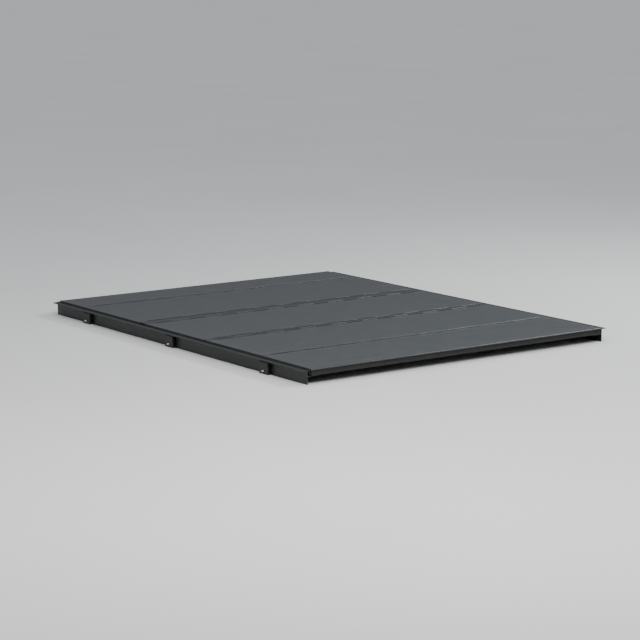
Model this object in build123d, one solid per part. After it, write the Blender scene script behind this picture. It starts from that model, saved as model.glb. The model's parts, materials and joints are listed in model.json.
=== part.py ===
from build123d import *
import math
import os

# Hard folding tonneau cover for a pickup bed, in millimetres.
# +X is the truck's right side, +Y points to the cab, +Z is up.
# The origin is under the middle of the cover, level with the lower edge of its side rails.
# A "station" is a distance forward from the rearmost edge of the cover.
# A "depth" is a distance below the panels' top surface.

# ---- overall size
LENGTH = 2087.0
RAIL_HALF_WIDTH = 838.0
PANEL_HALF_WIDTH = 800.0
TOP = 66.0

# ---- panels
THICKNESS = 24.0
SKIN = 1.0
PANEL_5_LENGTH = 356.0
PANEL_4_LENGTH = 419.0
PANEL_3_LENGTH = 470.0
PANEL_2_LENGTH = 496.0
NOSE = 12.0
FRONT_SEAL = 12.0
SIDE_BAR_WIDTH = 32.0
EDGE_BAR_WIDTH = 26.0
BAR_WALL = 2.0
END_BORDER = 12.0
SIDE_BORDER = 8.0
SKIN_GAP = 0.3
BORDER_RADIUS = 0.8

# ---- folding: the hinge bars are as wide as the stack that they bend around
REAR_STACK_GAP = 10.0
FULL_STACK_GAP = 8.0
NARROW_BAR_WIDTH = THICKNESS + REAR_STACK_GAP
WIDE_BAR_WIDTH = NARROW_BAR_WIDTH + THICKNESS + FULL_STACK_GAP
HINGE_BAR_THICKNESS = 12.0

# ---- hinges
AXIS_RISE = 0.6
PIN_RADIUS = 2.0
PIN_CLEARANCE = 0.05
KNUCKLE_RADIUS = 4.2
GROOVE_RADIUS = 4.8
KNUCKLE_COUNT = 17
KNUCKLE_PITCH = 88.0
KNUCKLE_GAP = 0.4
KNUCKLE_BRIDGE = 7.0
KNUCKLE_BRIDGE_DEPTH = 3.0
EDGE_GAP = 1.0
PIN_OVERHANG = 2.0

# ---- side rails: a web between the bed flange and the panels, with a ledge for the seal
RAIL_WALL = 3.0
WEB_INNER = 810.0
WEB_TOP_DEPTH = 3.0
FLANGE_DEPTH = 6.0
STRIKE_INNER = 802.0
LEDGE_INNER = 758.0
LEDGE_DEPTH = 30.0
LEDGE_LIP_DEPTH = 26.0
RAIL_RADIUS = 1.2
RAIL_END_CAP = 1.4
RAIL_END_GAP = 0.6

# ---- seals
SIDE_SEAL_INNER = 772.0
SIDE_SEAL_WIDTH = 12.0
SEAL_GAP = 0.3
TAILGATE_SEAL_REACH = 5.0
TAILGATE_SEAL_DEPTH = 24.5
SEAL_HALF_WIDTH = 797.0
BULKHEAD_SEAL_BASE = 3.0
BULKHEAD_SEAL_RADIUS = FRONT_SEAL - BULKHEAD_SEAL_BASE

# ---- bed clamps
CLAMP_STATIONS = {"rear": 300.0, "middle": 1040.0, "front": 1770.0}
CLAMP_DEPTH = 52.0
CLAMP_OPENING = 6.0
JAW_THICKNESS = 11.0
JAW_LENGTH = 60.0
JAW_TOP_DEPTH = 14.0
JAW_HEEL_HEIGHT = 5.0
JAW_ROUND = 2.0
JAW_GROOVES = 5
JAW_GROOVE_PITCH = 5.0
JAW_GROOVE_HEIGHT = 1.5
JAW_GROOVE_CUT = 0.8
JAW_GROOVE_START = 6.0
MOVING_GAP = 0.3
CLAMP_BOLT_RADIUS = 4.0
BOLT_CLEARANCE = 0.08
BOLT_HEAD_ACROSS_FLATS = 13.0
BOLT_HEAD_HEIGHT = 6.5
BOLT_FLANGE_RADIUS = 8.5
BOLT_FLANGE_HEIGHT = 1.7
BOLT_CHAMFER = 0.8

# ---- slide bolts that lock panels 3 and 5 under the rails' strike lips
LATCH_STATIONS = {5: 110.0, 3: 880.0}
LATCH_DEPTH = 14.0
LATCH_ROD_RADIUS = 4.0
LATCH_ROD_LENGTH = 91.0
LATCH_TRAVEL = 9.0
LATCH_STEM = 8.0
LATCH_KNOB_LENGTH = 20.0
LATCH_KNOB_WIDTH = 28.0
LATCH_KNOB_DEPTH = 31.0
LATCH_KNOB_THICKNESS = 5.5
LATCH_KNOB_CORNER = 4.0
LATCH_KNOB_ROUND = 1.5
LATCH_TIP_CHAMFER = 1.0
HOUSING_LENGTH = 64.0
HOUSING_WIDTH = 36.0
HOUSING_WALL = 2.5
HOUSING_TOP_DEPTH = 4.0

# ---- prop rods, which hold the folded stack upright behind the cab
ROD_X = 737.0
ROD_RADIUS = 4.0
ROD_LENGTH = 380.0
ROD_DEPTH = 33.0
ROD_SETBACK = 100.0
ROD_EYE_RADIUS = 6.4
ROD_EYE_WIDTH = 9.2
ROD_PIVOT_RADIUS = 3.0
FOOT_REACH = 19.0
FOOT_HEAD_RADIUS = 5.0
FOOT_HEAD_HEIGHT = 1.6
BRACKET_HALF_LENGTH = 14.0
BRACKET_BASE = 2.0
BRACKET_CORNER = 3.0
EAR_OFFSET = 5.0
EAR_THICKNESS = 3.0
EAR_RADIUS = 7.0
PIVOT_PIN_OVERHANG = 1.0
CRADLE_DEPTH = 31.0
CRADLE_SLOT_RADIUS = 3.4
CRADLE_WIDTH = 13.0
CRADLE_LENGTH = 20.0
CRADLE_BOTTOM_DEPTH = 42.0
CRADLE_CORNER = 3.0
CLIP_SETBACK = 330.0
CLIP_HALF_LENGTH = 6.0
CLIP_HALF_WIDTH = 9.0
CLIP_WALL = 1.6
CLIP_CLEARANCE = 0.4

# ---- the bolts that hold the front panel to the rails, and the drain spouts
FRONT_BOLT_X = 792.0
FRONT_BOLT_STATIONS = (1885.0, 2035.0)
FRONT_BOLT_RADIUS = 3.0
FRONT_BOLT_HEAD_RADIUS = 5.0
FRONT_BOLT_HEAD_HEIGHT = 4.0
FRONT_BOLT_HEAD_ROUND = 1.0
SPACER_HALF_WIDTH = 6.5
SPACER_HALF_LENGTH = 15.0
DRAIN_X = 766.5
DRAIN_STATIONS = (70.0, 2010.0)
DRAIN_RADIUS = 5.0
DRAIN_BORE = 3.0
DRAIN_LENGTH = 15.0
DRAIN_FLANGE_RADIUS = 7.5
DRAIN_FLANGE_HEIGHT = 2.0

# ---- stations and heights that follow from those
REAR_SEAM = PANEL_5_LENGTH
NARROW_BAR = (REAR_SEAM + PANEL_4_LENGTH, REAR_SEAM + PANEL_4_LENGTH + NARROW_BAR_WIDTH)
WIDE_BAR = (NARROW_BAR[1] + PANEL_3_LENGTH, NARROW_BAR[1] + PANEL_3_LENGTH + WIDE_BAR_WIDTH)
FRONT_SEAM = WIDE_BAR[1] + PANEL_2_LENGTH
FRONT_EDGE = LENGTH - FRONT_SEAL
PANELS = {
    5: (NOSE, REAR_SEAM),
    4: (REAR_SEAM, NARROW_BAR[0]),
    3: (NARROW_BAR[1], WIDE_BAR[0]),
    2: (WIDE_BAR[1], FRONT_SEAM),
    1: (FRONT_SEAM, FRONT_EDGE),
}
AXIS_Z = TOP + AXIS_RISE
UNDERSIDE = TOP - THICKNESS
BAR_TOP = TOP - SKIN
BAR_BOTTOM = UNDERSIDE + SKIN
EDGE_BAR_HALF = PANEL_HALF_WIDTH - SIDE_BAR_WIDTH
HINGE_HALF = KNUCKLE_COUNT * KNUCKLE_PITCH / 2
WEB_OUTER = WEB_INNER + RAIL_WALL
RAIL_STATIONS = (NOSE + RAIL_END_GAP + RAIL_END_CAP, FRONT_EDGE - RAIL_END_CAP)


def y_at(station):
    return station - LENGTH / 2


def box(x0, x1, y0, y1, z0, z1):
    centre = Pos((x0 + x1) / 2, (y0 + y1) / 2, (z0 + z1) / 2)
    return centre * Box(abs(x1 - x0), abs(y1 - y0), abs(z1 - z0))


def rect(a0, a1, b0, b1):
    return Pos((a0 + a1) / 2, (b0 + b1) / 2) * Rectangle(abs(a1 - a0), abs(b1 - b0))


def rod_x(x0, x1, y, z, radius):
    return Pos((x0 + x1) / 2, y, z) * Rot(0, 90, 0) * Cylinder(radius, abs(x1 - x0))


def rod_y(x, y0, y1, z, radius):
    return Pos(x, (y0 + y1) / 2, z) * Rot(90, 0, 0) * Cylinder(radius, abs(y1 - y0))


def rod_z(x, y, z0, z1, radius):
    return Pos(x, y, (z0 + z1) / 2) * Cylinder(radius, abs(z1 - z0))


def rounded(section, corners, radius):
    """Round the listed corners of a flat section."""
    chosen = [
        vertex
        for vertex in section.vertices()
        if any(abs(vertex.X - a) + abs(vertex.Y - b) < 0.01 for a, b in corners)
    ]
    return fillet(chosen, radius)


def along_x(section, half_width):
    """A (y, z) section, extruded over the cover's width."""
    return extrude(Plane.YZ * section, half_width, both=True)


def along_y(section, start, end):
    """An (x, z) section, extruded between two stations."""
    middle = y_at((start + end) / 2)
    return Pos(0, middle, 0) * extrude(Plane.XZ * section, (end - start) / 2, both=True)


def left_of(shape):
    return mirror(shape, about=Plane.YZ)


def both_sides(shape):
    return [shape, left_of(shape)]


def write(node, *shapes):
    solids = [solid for shape in shapes for solid in shape.solids()]
    whole = solids[0] if len(solids) == 1 else Compound(children=solids)
    export_step(whole, f"parts/{node}.step")


# ---------------------------------------------------------------- hinges


def knuckle_spans(first):
    """X limits of every second knuckle, from knuckle 0 or knuckle 1."""
    spans = []
    for index in range(first, KNUCKLE_COUNT, 2):
        start = -HINGE_HALF + index * KNUCKLE_PITCH
        spans.append((start + KNUCKLE_GAP / 2, start + KNUCKLE_PITCH - KNUCKLE_GAP / 2))
    return spans


def with_knuckles(bar, axis, side):
    """Cut a bar's hinge groove and add its knuckles; side is +1 for a bar forward of the axis."""
    y = y_at(axis)
    bar -= rod_x(-EDGE_BAR_HALF, EDGE_BAR_HALF, y, AXIS_Z, GROOVE_RADIUS)
    for x0, x1 in knuckle_spans(0 if side > 0 else 1):
        bar += rod_x(x0, x1, y, AXIS_Z, KNUCKLE_RADIUS)
        bar += box(x0, x1, y, y + side * KNUCKLE_BRIDGE, TOP - KNUCKLE_BRIDGE_DEPTH, TOP)
    return bar - rod_x(-HINGE_HALF, HINGE_HALF, y, AXIS_Z, PIN_RADIUS + PIN_CLEARANCE)


def hinge_pin(axis):
    reach = HINGE_HALF + PIN_OVERHANG
    pin = rod_x(-reach, reach, y_at(axis), AXIS_Z, PIN_RADIUS)
    return chamfer(pin.edges(), PIN_RADIUS / 4)


def hinge_bar(rear_axis, front_axis):
    """The narrow extrusion between two hinge axes, which stands upright when the panels fold."""
    y0 = y_at(rear_axis) + EDGE_GAP
    y1 = y_at(front_axis) - EDGE_GAP
    bottom = TOP - HINGE_BAR_THICKNESS
    bar = box(-PANEL_HALF_WIDTH, PANEL_HALF_WIDTH, y0, y1, bottom, TOP)
    inset = KNUCKLE_BRIDGE + BAR_WALL
    bar -= box(
        -PANEL_HALF_WIDTH,
        PANEL_HALF_WIDTH,
        y0 + inset,
        y1 - inset,
        bottom + BAR_WALL,
        TOP - BAR_WALL,
    )
    bar = with_knuckles(bar, rear_axis, 1)
    return with_knuckles(bar, front_axis, -1)


# ---------------------------------------------------------------- panels


def edge_section(y, side, near):
    """Hollow end bar of a panel, which starts a distance near from its reference line y."""
    section = rect(y + side * near, y + side * EDGE_BAR_WIDTH, BAR_BOTTOM, BAR_TOP)
    section += rect(y + side * near, y + side * END_BORDER, BAR_TOP, TOP)
    hollow_start = y + side * (KNUCKLE_BRIDGE + BAR_WALL)
    hollow_end = y + side * (EDGE_BAR_WIDTH - BAR_WALL)
    return section - rect(hollow_start, hollow_end, BAR_BOTTOM + BAR_WALL, BAR_TOP - BAR_WALL)


def hinged_edge_bar(axis, side):
    bar = along_x(edge_section(y_at(axis), side, EDGE_GAP), EDGE_BAR_HALF)
    return with_knuckles(bar, axis, side)


def nose_bar():
    """Rear bar of panel 5, with the rounded nose that overhangs the tailgate seal."""
    y0 = y_at(0)
    y1 = y_at(NOSE)
    nose = rect(y0, y1, TOP - NOSE / 2, TOP)
    nose = rounded(nose, [(y0, TOP)], NOSE / 3)
    nose = rounded(nose, [(y0, TOP - NOSE / 2)], NOSE / 8)
    return along_x(edge_section(y1, 1, 0), EDGE_BAR_HALF) + along_x(nose, PANEL_HALF_WIDTH)


def plain_front_bar():
    section = edge_section(y_at(FRONT_EDGE), -1, 0)
    corner = (y_at(FRONT_EDGE), TOP)
    return along_x(rounded(section, [corner], BORDER_RADIUS), EDGE_BAR_HALF)


def side_bar(start, end):
    """Hollow bar down the right side of a panel, with the raised border around its skin."""
    section = rect(EDGE_BAR_HALF, PANEL_HALF_WIDTH, BAR_BOTTOM, BAR_TOP)
    section += rect(PANEL_HALF_WIDTH - SIDE_BORDER, PANEL_HALF_WIDTH, BAR_TOP, TOP)
    section = rounded(section, [(PANEL_HALF_WIDTH, TOP)], BORDER_RADIUS)
    section -= rect(
        EDGE_BAR_HALF + BAR_WALL,
        PANEL_HALF_WIDTH - BAR_WALL,
        BAR_BOTTOM + BAR_WALL,
        BAR_TOP - BAR_WALL,
    )
    bar = along_y(section, start, end)
    corner_x = PANEL_HALF_WIDTH - SIDE_BORDER / 2
    for near, far in ((start, start + END_BORDER - EDGE_GAP), (end - END_BORDER + EDGE_GAP, end)):
        bar += box(EDGE_BAR_HALF, corner_x, y_at(near), y_at(far), BAR_TOP - BAR_WALL, TOP)
    return bar


def bar_limits(number):
    """Stations where a panel's side bars start and end."""
    start, end = PANELS[number]
    if number != 5:
        start += EDGE_GAP
    if number != 1:
        end -= EDGE_GAP
    return start, end


def latch_hole(number):
    """Clearance for a right slide bolt through the side bar."""
    y = y_at(LATCH_STATIONS[number])
    radius = LATCH_ROD_RADIUS + BOLT_CLEARANCE
    return rod_x(EDGE_BAR_HALF - 1, PANEL_HALF_WIDTH + 1, y, TOP - LATCH_DEPTH, radius)


def front_bolt_holes():
    """Clearance for the right front-panel bolts, from the rail's ledge up into the side bar."""
    holes = [
        rod_z(
            FRONT_BOLT_X,
            y_at(station),
            TOP - LEDGE_DEPTH - RAIL_WALL,
            BAR_BOTTOM + BAR_WALL,
            FRONT_BOLT_RADIUS + PIN_CLEARANCE,
        )
        for station in FRONT_BOLT_STATIONS
    ]
    return holes[0] + holes[1]


def frame(number):
    """The four extrusions around a panel's core."""
    start, end = PANELS[number]
    rear = nose_bar() if number == 5 else hinged_edge_bar(start, 1)
    front = plain_front_bar() if number == 1 else hinged_edge_bar(end, -1)
    side = side_bar(*bar_limits(number))
    if number in LATCH_STATIONS:
        side -= latch_hole(number)
    if number == 1:
        side -= front_bolt_holes()
    return [rear, front, *both_sides(side)]


def housing_pocket(number, clearance, top_depth):
    """The space that a right latch housing takes up, with some clearance around it."""
    y = y_at(LATCH_STATIONS[number])
    half = HOUSING_WIDTH / 2 + clearance
    start = EDGE_BAR_HALF - HOUSING_LENGTH - clearance
    return box(start, EDGE_BAR_HALF, y - half, y + half, UNDERSIDE, TOP - top_depth)


def top_skin(number):
    start, end = PANELS[number]
    half = PANEL_HALF_WIDTH - SIDE_BORDER - SKIN_GAP
    inset = END_BORDER + SKIN_GAP
    return box(-half, half, y_at(start + inset), y_at(end - inset), BAR_TOP, TOP)


def bottom_skin(number):
    start, end = bar_limits(number)
    skin = box(
        -PANEL_HALF_WIDTH,
        PANEL_HALF_WIDTH,
        y_at(start),
        y_at(end),
        UNDERSIDE,
        BAR_BOTTOM,
    )
    if number in LATCH_STATIONS:
        for pocket in both_sides(housing_pocket(number, SKIN_GAP, HOUSING_TOP_DEPTH)):
            skin -= pocket
    if number == 1:
        for holes in both_sides(front_bolt_holes()):
            skin -= holes
    return skin


def core(number):
    """Honeycomb core, as the block that it fills between the skins and the frame."""
    start, end = PANELS[number]
    slab = box(
        -EDGE_BAR_HALF,
        EDGE_BAR_HALF,
        y_at(start + EDGE_BAR_WIDTH),
        y_at(end - EDGE_BAR_WIDTH),
        BAR_BOTTOM,
        BAR_TOP,
    )
    if number in LATCH_STATIONS:
        for pocket in both_sides(housing_pocket(number, SKIN_GAP, HOUSING_TOP_DEPTH - SKIN_GAP)):
            slab -= pocket
    return slab


# ---------------------------------------------------------------- latches


def latch_bolt(number):
    """Right slide bolt: a rod with a stem and a flat finger knob under the panel."""
    y = y_at(LATCH_STATIONS[number])
    z = TOP - LATCH_DEPTH
    tip = PANEL_HALF_WIDTH - SKIN_GAP
    tail = tip - LATCH_ROD_LENGTH
    rod = rod_x(tail, tip, y, z, LATCH_ROD_RADIUS)
    rod = chamfer(rod.edges().sort_by(Axis.X)[-1], LATCH_TIP_CHAMFER)
    stem_start = tail + LATCH_STEM / 2
    knob_bottom = TOP - LATCH_KNOB_DEPTH
    knob_top = knob_bottom + LATCH_KNOB_THICKNESS
    half_stem = LATCH_STEM / 2
    stem_end = stem_start + LATCH_STEM
    stem = box(stem_start, stem_end, y - half_stem, y + half_stem, knob_bottom, z)
    knob_start = stem_start + (LATCH_STEM - LATCH_KNOB_LENGTH) / 2
    half_knob = LATCH_KNOB_WIDTH / 2
    knob = box(
        knob_start,
        knob_start + LATCH_KNOB_LENGTH,
        y - half_knob,
        y + half_knob,
        knob_bottom,
        knob_top,
    )
    knob = fillet(knob.edges().filter_by(Axis.Z), LATCH_KNOB_CORNER)
    knob = fillet(knob.edges().group_by(Axis.Z)[0], LATCH_KNOB_ROUND)
    return rod + stem + knob


def latch_housing(number):
    """Right latch housing: a shallow closed box in the core, slotted for the stem."""
    y = y_at(LATCH_STATIONS[number])
    half = HOUSING_WIDTH / 2
    start = EDGE_BAR_HALF - HOUSING_LENGTH
    top = TOP - HOUSING_TOP_DEPTH
    body = box(start, EDGE_BAR_HALF, y - half, y + half, UNDERSIDE, top)
    body -= box(
        start + HOUSING_WALL,
        EDGE_BAR_HALF - HOUSING_WALL,
        y - half + HOUSING_WALL,
        y + half - HOUSING_WALL,
        UNDERSIDE + HOUSING_WALL,
        top - HOUSING_WALL,
    )
    radius = LATCH_ROD_RADIUS + BOLT_CLEARANCE
    body -= rod_x(EDGE_BAR_HALF - 2 * HOUSING_WALL, EDGE_BAR_HALF, y, TOP - LATCH_DEPTH, radius)
    stem_start = PANEL_HALF_WIDTH - SKIN_GAP - LATCH_ROD_LENGTH + LATCH_STEM / 2
    slot_half = LATCH_STEM / 2 + SKIN_GAP
    return body - box(
        stem_start - 2 * SKIN_GAP,
        stem_start + LATCH_STEM + LATCH_TRAVEL + 2 * SKIN_GAP,
        y - slot_half,
        y + slot_half,
        UNDERSIDE,
        UNDERSIDE + HOUSING_WALL,
    )


# ---------------------------------------------------------------- rails and clamps


def rail_strips():
    """Right rail's walls: web, outer flange, strike lip, seal ledge and the ledge's drip lip."""
    flange_top = TOP - FLANGE_DEPTH
    flange_bottom = flange_top - RAIL_WALL
    ledge_top = TOP - LEDGE_DEPTH
    web_top = TOP - WEB_TOP_DEPTH
    drip_top = TOP - LEDGE_LIP_DEPTH
    drip_outer = LEDGE_INNER + RAIL_WALL
    web = rect(WEB_INNER, WEB_OUTER, 0, web_top)
    web_ends = [(x, z) for x in (WEB_INNER, WEB_OUTER) for z in (0, web_top)]
    flange = rect(WEB_OUTER, RAIL_HALF_WIDTH, flange_bottom, flange_top)
    flange_end = [(RAIL_HALF_WIDTH, flange_top), (RAIL_HALF_WIDTH, flange_bottom)]
    strike = rect(STRIKE_INNER, WEB_INNER, flange_bottom, flange_top)
    strike_end = [(STRIKE_INNER, flange_top), (STRIKE_INNER, flange_bottom)]
    ledge = rect(LEDGE_INNER, WEB_INNER, ledge_top - RAIL_WALL, ledge_top)
    drip = rect(LEDGE_INNER, drip_outer, ledge_top, drip_top)
    drip_end = [(LEDGE_INNER, drip_top), (drip_outer, drip_top)]
    return [
        rounded(web, web_ends, RAIL_RADIUS),
        rounded(flange, flange_end, RAIL_RADIUS),
        rounded(strike, strike_end, RAIL_RADIUS),
        ledge,
        rounded(drip, drip_end, RAIL_RADIUS),
    ]


def side_rail():
    """Right rail: one solid per wall, with its clamp, drain and bolt holes."""
    web, flange, strike, ledge, drip = [along_y(s, *RAIL_STATIONS) for s in rail_strips()]
    for station in CLAMP_STATIONS.values():
        radius = CLAMP_BOLT_RADIUS + BOLT_CLEARANCE
        web -= rod_x(WEB_INNER - 1, WEB_OUTER + 1, y_at(station), TOP - CLAMP_DEPTH, radius)
    ledge_bottom = TOP - LEDGE_DEPTH - RAIL_WALL
    for station in DRAIN_STATIONS:
        ledge -= rod_z(DRAIN_X, y_at(station), ledge_bottom, TOP - LEDGE_DEPTH, DRAIN_BORE)
    return [web, flange, strike, ledge - front_bolt_holes(), drip]


def rail_end_caps():
    """Right rail's two moulded end caps."""
    start, end = RAIL_STATIONS
    strips = rail_strips()
    section = strips[0]
    for strip in strips[1:]:
        section += strip
    return [
        along_y(section, start - RAIL_END_CAP, start),
        along_y(section, end, end + RAIL_END_CAP),
    ]


def side_seal():
    """Right bulb seal on the rail's ledge, under the panels' side bars."""
    base = TOP - LEDGE_DEPTH
    crown = UNDERSIDE - SEAL_GAP
    outer = SIDE_SEAL_INNER + SIDE_SEAL_WIDTH
    section = rect(SIDE_SEAL_INNER, outer, base, crown)
    corners = [(SIDE_SEAL_INNER, crown), (outer, crown)]
    return along_y(rounded(section, corners, (crown - base) * 0.6), *RAIL_STATIONS)


def clamp_jaw(station):
    """Right outer jaw: a pad against the bed flange and a heel against the rail's web."""
    inner = WEB_OUTER + CLAMP_OPENING
    outer = inner + JAW_THICKNESS
    top = TOP - JAW_TOP_DEPTH
    section = rect(inner, outer, 0, top)
    section = rounded(section, [(outer, 0), (outer, top), (inner, top)], JAW_ROUND)
    section += rect(WEB_OUTER + MOVING_GAP, inner, 0, JAW_HEEL_HEIGHT)
    for row in range(JAW_GROOVES):
        height = top - JAW_GROOVE_START - JAW_GROOVE_PITCH * row
        section -= rect(inner, inner + JAW_GROOVE_CUT, height, height + JAW_GROOVE_HEIGHT)
    half = JAW_LENGTH / 2
    jaw = along_y(section, station - half, station + half)
    radius = CLAMP_BOLT_RADIUS + BOLT_CLEARANCE
    return jaw - rod_x(inner - 1, outer + 1, y_at(station), TOP - CLAMP_DEPTH, radius)


def clamp_bolt(station):
    """Right clamp bolt, with its hexagon head inside the bed."""
    y = y_at(station)
    z = TOP - CLAMP_DEPTH
    flange_outer = WEB_INNER - MOVING_GAP
    flange_inner = flange_outer - BOLT_FLANGE_HEIGHT
    head_inner = flange_inner - BOLT_HEAD_HEIGHT
    hexagon = RegularPolygon(BOLT_HEAD_ACROSS_FLATS / 2, 6, major_radius=False)
    head = extrude(hexagon, BOLT_HEAD_HEIGHT)
    head = chamfer(head.faces().sort_by(Axis.Z)[0].edges(), BOLT_CHAMFER)
    shank = rod_x(flange_inner, RAIL_HALF_WIDTH, y, z, CLAMP_BOLT_RADIUS)
    shank = chamfer(shank.edges().sort_by(Axis.X)[-1], BOLT_CHAMFER)
    flange = rod_x(flange_inner, flange_outer, y, z, BOLT_FLANGE_RADIUS)
    return Pos(head_inner, y, z) * Rot(0, 90, 0) * head + flange + shank


# ---------------------------------------------------------------- seals across the cover


def tailgate_seal():
    """Rubber seal under the nose, with a bulb that meets the tailgate's top."""
    y = y_at(NOSE)
    bulb = y - TAILGATE_SEAL_REACH
    section = rect(y - 2 * TAILGATE_SEAL_REACH + 2, y, TOP - TAILGATE_SEAL_DEPTH, TOP - NOSE / 2)
    section += Pos(bulb, TOP - TAILGATE_SEAL_DEPTH) * Circle(TAILGATE_SEAL_REACH)
    return along_x(section, SEAL_HALF_WIDTH)


def bulkhead_seal():
    """Rubber bulb on the front edge, which meets the front wall of the bed."""
    y = y_at(FRONT_EDGE)
    z = TOP - THICKNESS / 2
    section = rect(y, y + BULKHEAD_SEAL_BASE, z - BULKHEAD_SEAL_RADIUS, z + BULKHEAD_SEAL_RADIUS)
    section += Pos(y + BULKHEAD_SEAL_BASE, z) * Circle(BULKHEAD_SEAL_RADIUS)
    section -= rect(y - BULKHEAD_SEAL_RADIUS, y, UNDERSIDE, TOP)
    return along_x(section, SEAL_HALF_WIDTH)


# ---------------------------------------------------------------- prop rods


def prop_rod():
    """Right prop rod, folded back along panel 2: a straight rod with an eye at each end."""
    pivot_y = y_at(FRONT_SEAM - ROD_SETBACK)
    z = TOP - ROD_DEPTH
    foot_y = pivot_y - ROD_LENGTH
    half_eye = ROD_EYE_WIDTH / 2
    bore = ROD_PIVOT_RADIUS + PIN_CLEARANCE
    rod = rod_y(ROD_X, foot_y, pivot_y, z, ROD_RADIUS)
    for y in (foot_y, pivot_y):
        rod += rod_x(ROD_X - half_eye, ROD_X + half_eye, y, z, ROD_EYE_RADIUS)
    for y in (foot_y, pivot_y):
        rod -= rod_x(ROD_X - half_eye, ROD_X + half_eye, y, z, bore)
    return rod


def prop_rod_foot():
    """Right headed pin through the rod's free eye, which drops into the cradle."""
    y = y_at(FRONT_SEAM - ROD_SETBACK) - ROD_LENGTH
    z = TOP - ROD_DEPTH
    head_outer = ROD_X - ROD_EYE_WIDTH / 2
    head = rod_x(head_outer - FOOT_HEAD_HEIGHT, head_outer, y, z, FOOT_HEAD_RADIUS)
    shank = rod_x(head_outer, ROD_X + FOOT_REACH, y, z, ROD_PIVOT_RADIUS)
    return head + chamfer(shank.edges().sort_by(Axis.X)[-1], BOLT_CHAMFER)


def rod_bracket():
    """Right pivot bracket under panel 2: a base with two ears, and its pivot pin."""
    y = y_at(FRONT_SEAM - ROD_SETBACK)
    z = TOP - ROD_DEPTH
    half = BRACKET_HALF_LENGTH
    base_bottom = UNDERSIDE - BRACKET_BASE
    base = box(ROD_X - half, ROD_X + half, y - half, y + half, base_bottom, UNDERSIDE)
    bracket = fillet(base.edges().filter_by(Axis.Z), BRACKET_CORNER)
    for side in (-1, 1):
        inner = ROD_X + side * EAR_OFFSET
        outer = inner + side * EAR_THICKNESS
        bracket += box(inner, outer, y - EAR_RADIUS, y + EAR_RADIUS, z, base_bottom)
        bracket += rod_x(inner, outer, y, z, EAR_RADIUS)
    reach = EAR_OFFSET + EAR_THICKNESS + PIVOT_PIN_OVERHANG
    bracket -= rod_x(ROD_X - reach, ROD_X + reach, y, z, ROD_PIVOT_RADIUS + PIN_CLEARANCE)
    pin = rod_x(ROD_X - reach, ROD_X + reach, y, z, ROD_PIVOT_RADIUS)
    return [bracket, pin]


def rod_clip():
    """Right spring clip that holds the stowed rod, open downwards."""
    y = y_at(FRONT_SEAM - ROD_SETBACK - CLIP_SETBACK)
    start = y - CLIP_HALF_LENGTH
    end = y + CLIP_HALF_LENGTH
    left, right = ROD_X - CLIP_HALF_WIDTH, ROD_X + CLIP_HALF_WIDTH
    clip = box(left, right, start, end, UNDERSIDE - CLIP_WALL, UNDERSIDE)
    for side in (-1, 1):
        inner = ROD_X + side * (ROD_RADIUS + CLIP_CLEARANCE)
        outer = inner + side * CLIP_WALL
        clip += box(inner, outer, start, end, TOP - ROD_DEPTH - ROD_RADIUS, UNDERSIDE)
    return clip


def cradle_station():
    """Where the upright stack's rod comes down on the rail, from the rod's length."""
    drop = ROD_SETBACK + AXIS_RISE + CRADLE_DEPTH
    reach = math.sqrt(ROD_LENGTH**2 - drop**2)
    return FRONT_SEAM - ROD_DEPTH - AXIS_RISE - reach


def rod_swing():
    """Degrees from stowed to seated in the cradle with the stack upright."""
    drop = ROD_SETBACK + AXIS_RISE + CRADLE_DEPTH
    return 90 + math.degrees(math.asin(drop / ROD_LENGTH))


def rod_cradle():
    """Right cradle on the rail's ledge, with a slot for the rod's foot pin."""
    y = y_at(cradle_station())
    half = CRADLE_LENGTH / 2
    start = LEDGE_INNER - CRADLE_WIDTH
    top = TOP - LEDGE_LIP_DEPTH - RAIL_RADIUS
    z = TOP - CRADLE_DEPTH
    block = box(start, LEDGE_INNER, y - half, y + half, TOP - CRADLE_BOTTOM_DEPTH, top)
    block = fillet(block.edges().filter_by(Axis.Z).group_by(Axis.X)[0], CRADLE_CORNER)
    block -= rod_x(start, LEDGE_INNER, y, z, CRADLE_SLOT_RADIUS)
    return block - box(start, LEDGE_INNER, y - CRADLE_SLOT_RADIUS, y + CRADLE_SLOT_RADIUS, z, top)


# ---------------------------------------------------------------- small parts


def front_bolt(station):
    """Right bolt that holds the front panel's side bar to the rail's ledge."""
    y = y_at(station)
    ledge_bottom = TOP - LEDGE_DEPTH - RAIL_WALL
    head_bottom = ledge_bottom - FRONT_BOLT_HEAD_HEIGHT
    head = rod_z(FRONT_BOLT_X, y, head_bottom, ledge_bottom, FRONT_BOLT_HEAD_RADIUS)
    head = fillet(head.edges().sort_by(Axis.Z)[0], FRONT_BOLT_HEAD_ROUND)
    tip = BAR_BOTTOM + 2 * BAR_WALL
    return head + rod_z(FRONT_BOLT_X, y, ledge_bottom, tip, FRONT_BOLT_RADIUS)


def front_spacer(station):
    """Right spacer block between the rail's ledge and the front panel."""
    y = y_at(station)
    base = TOP - LEDGE_DEPTH
    left, right = FRONT_BOLT_X - SPACER_HALF_WIDTH, FRONT_BOLT_X + SPACER_HALF_WIDTH
    start, end = y - SPACER_HALF_LENGTH, y + SPACER_HALF_LENGTH
    block = box(left, right, start, end, base, UNDERSIDE)
    return block - rod_z(FRONT_BOLT_X, y, base, UNDERSIDE, FRONT_BOLT_RADIUS + PIN_CLEARANCE)


def drain_spout(station):
    """Right drain spout: a flanged tube through the ledge's lowest corner."""
    y = y_at(station)
    top = TOP - LEDGE_DEPTH - RAIL_WALL
    bottom = top - DRAIN_LENGTH
    spout = rod_z(DRAIN_X, y, bottom, top, DRAIN_RADIUS)
    spout += rod_z(DRAIN_X, y, top - DRAIN_FLANGE_HEIGHT, top, DRAIN_FLANGE_RADIUS)
    return spout - rod_z(DRAIN_X, y, bottom, top, DRAIN_BORE)


# ---------------------------------------------------------------- the cover

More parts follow.
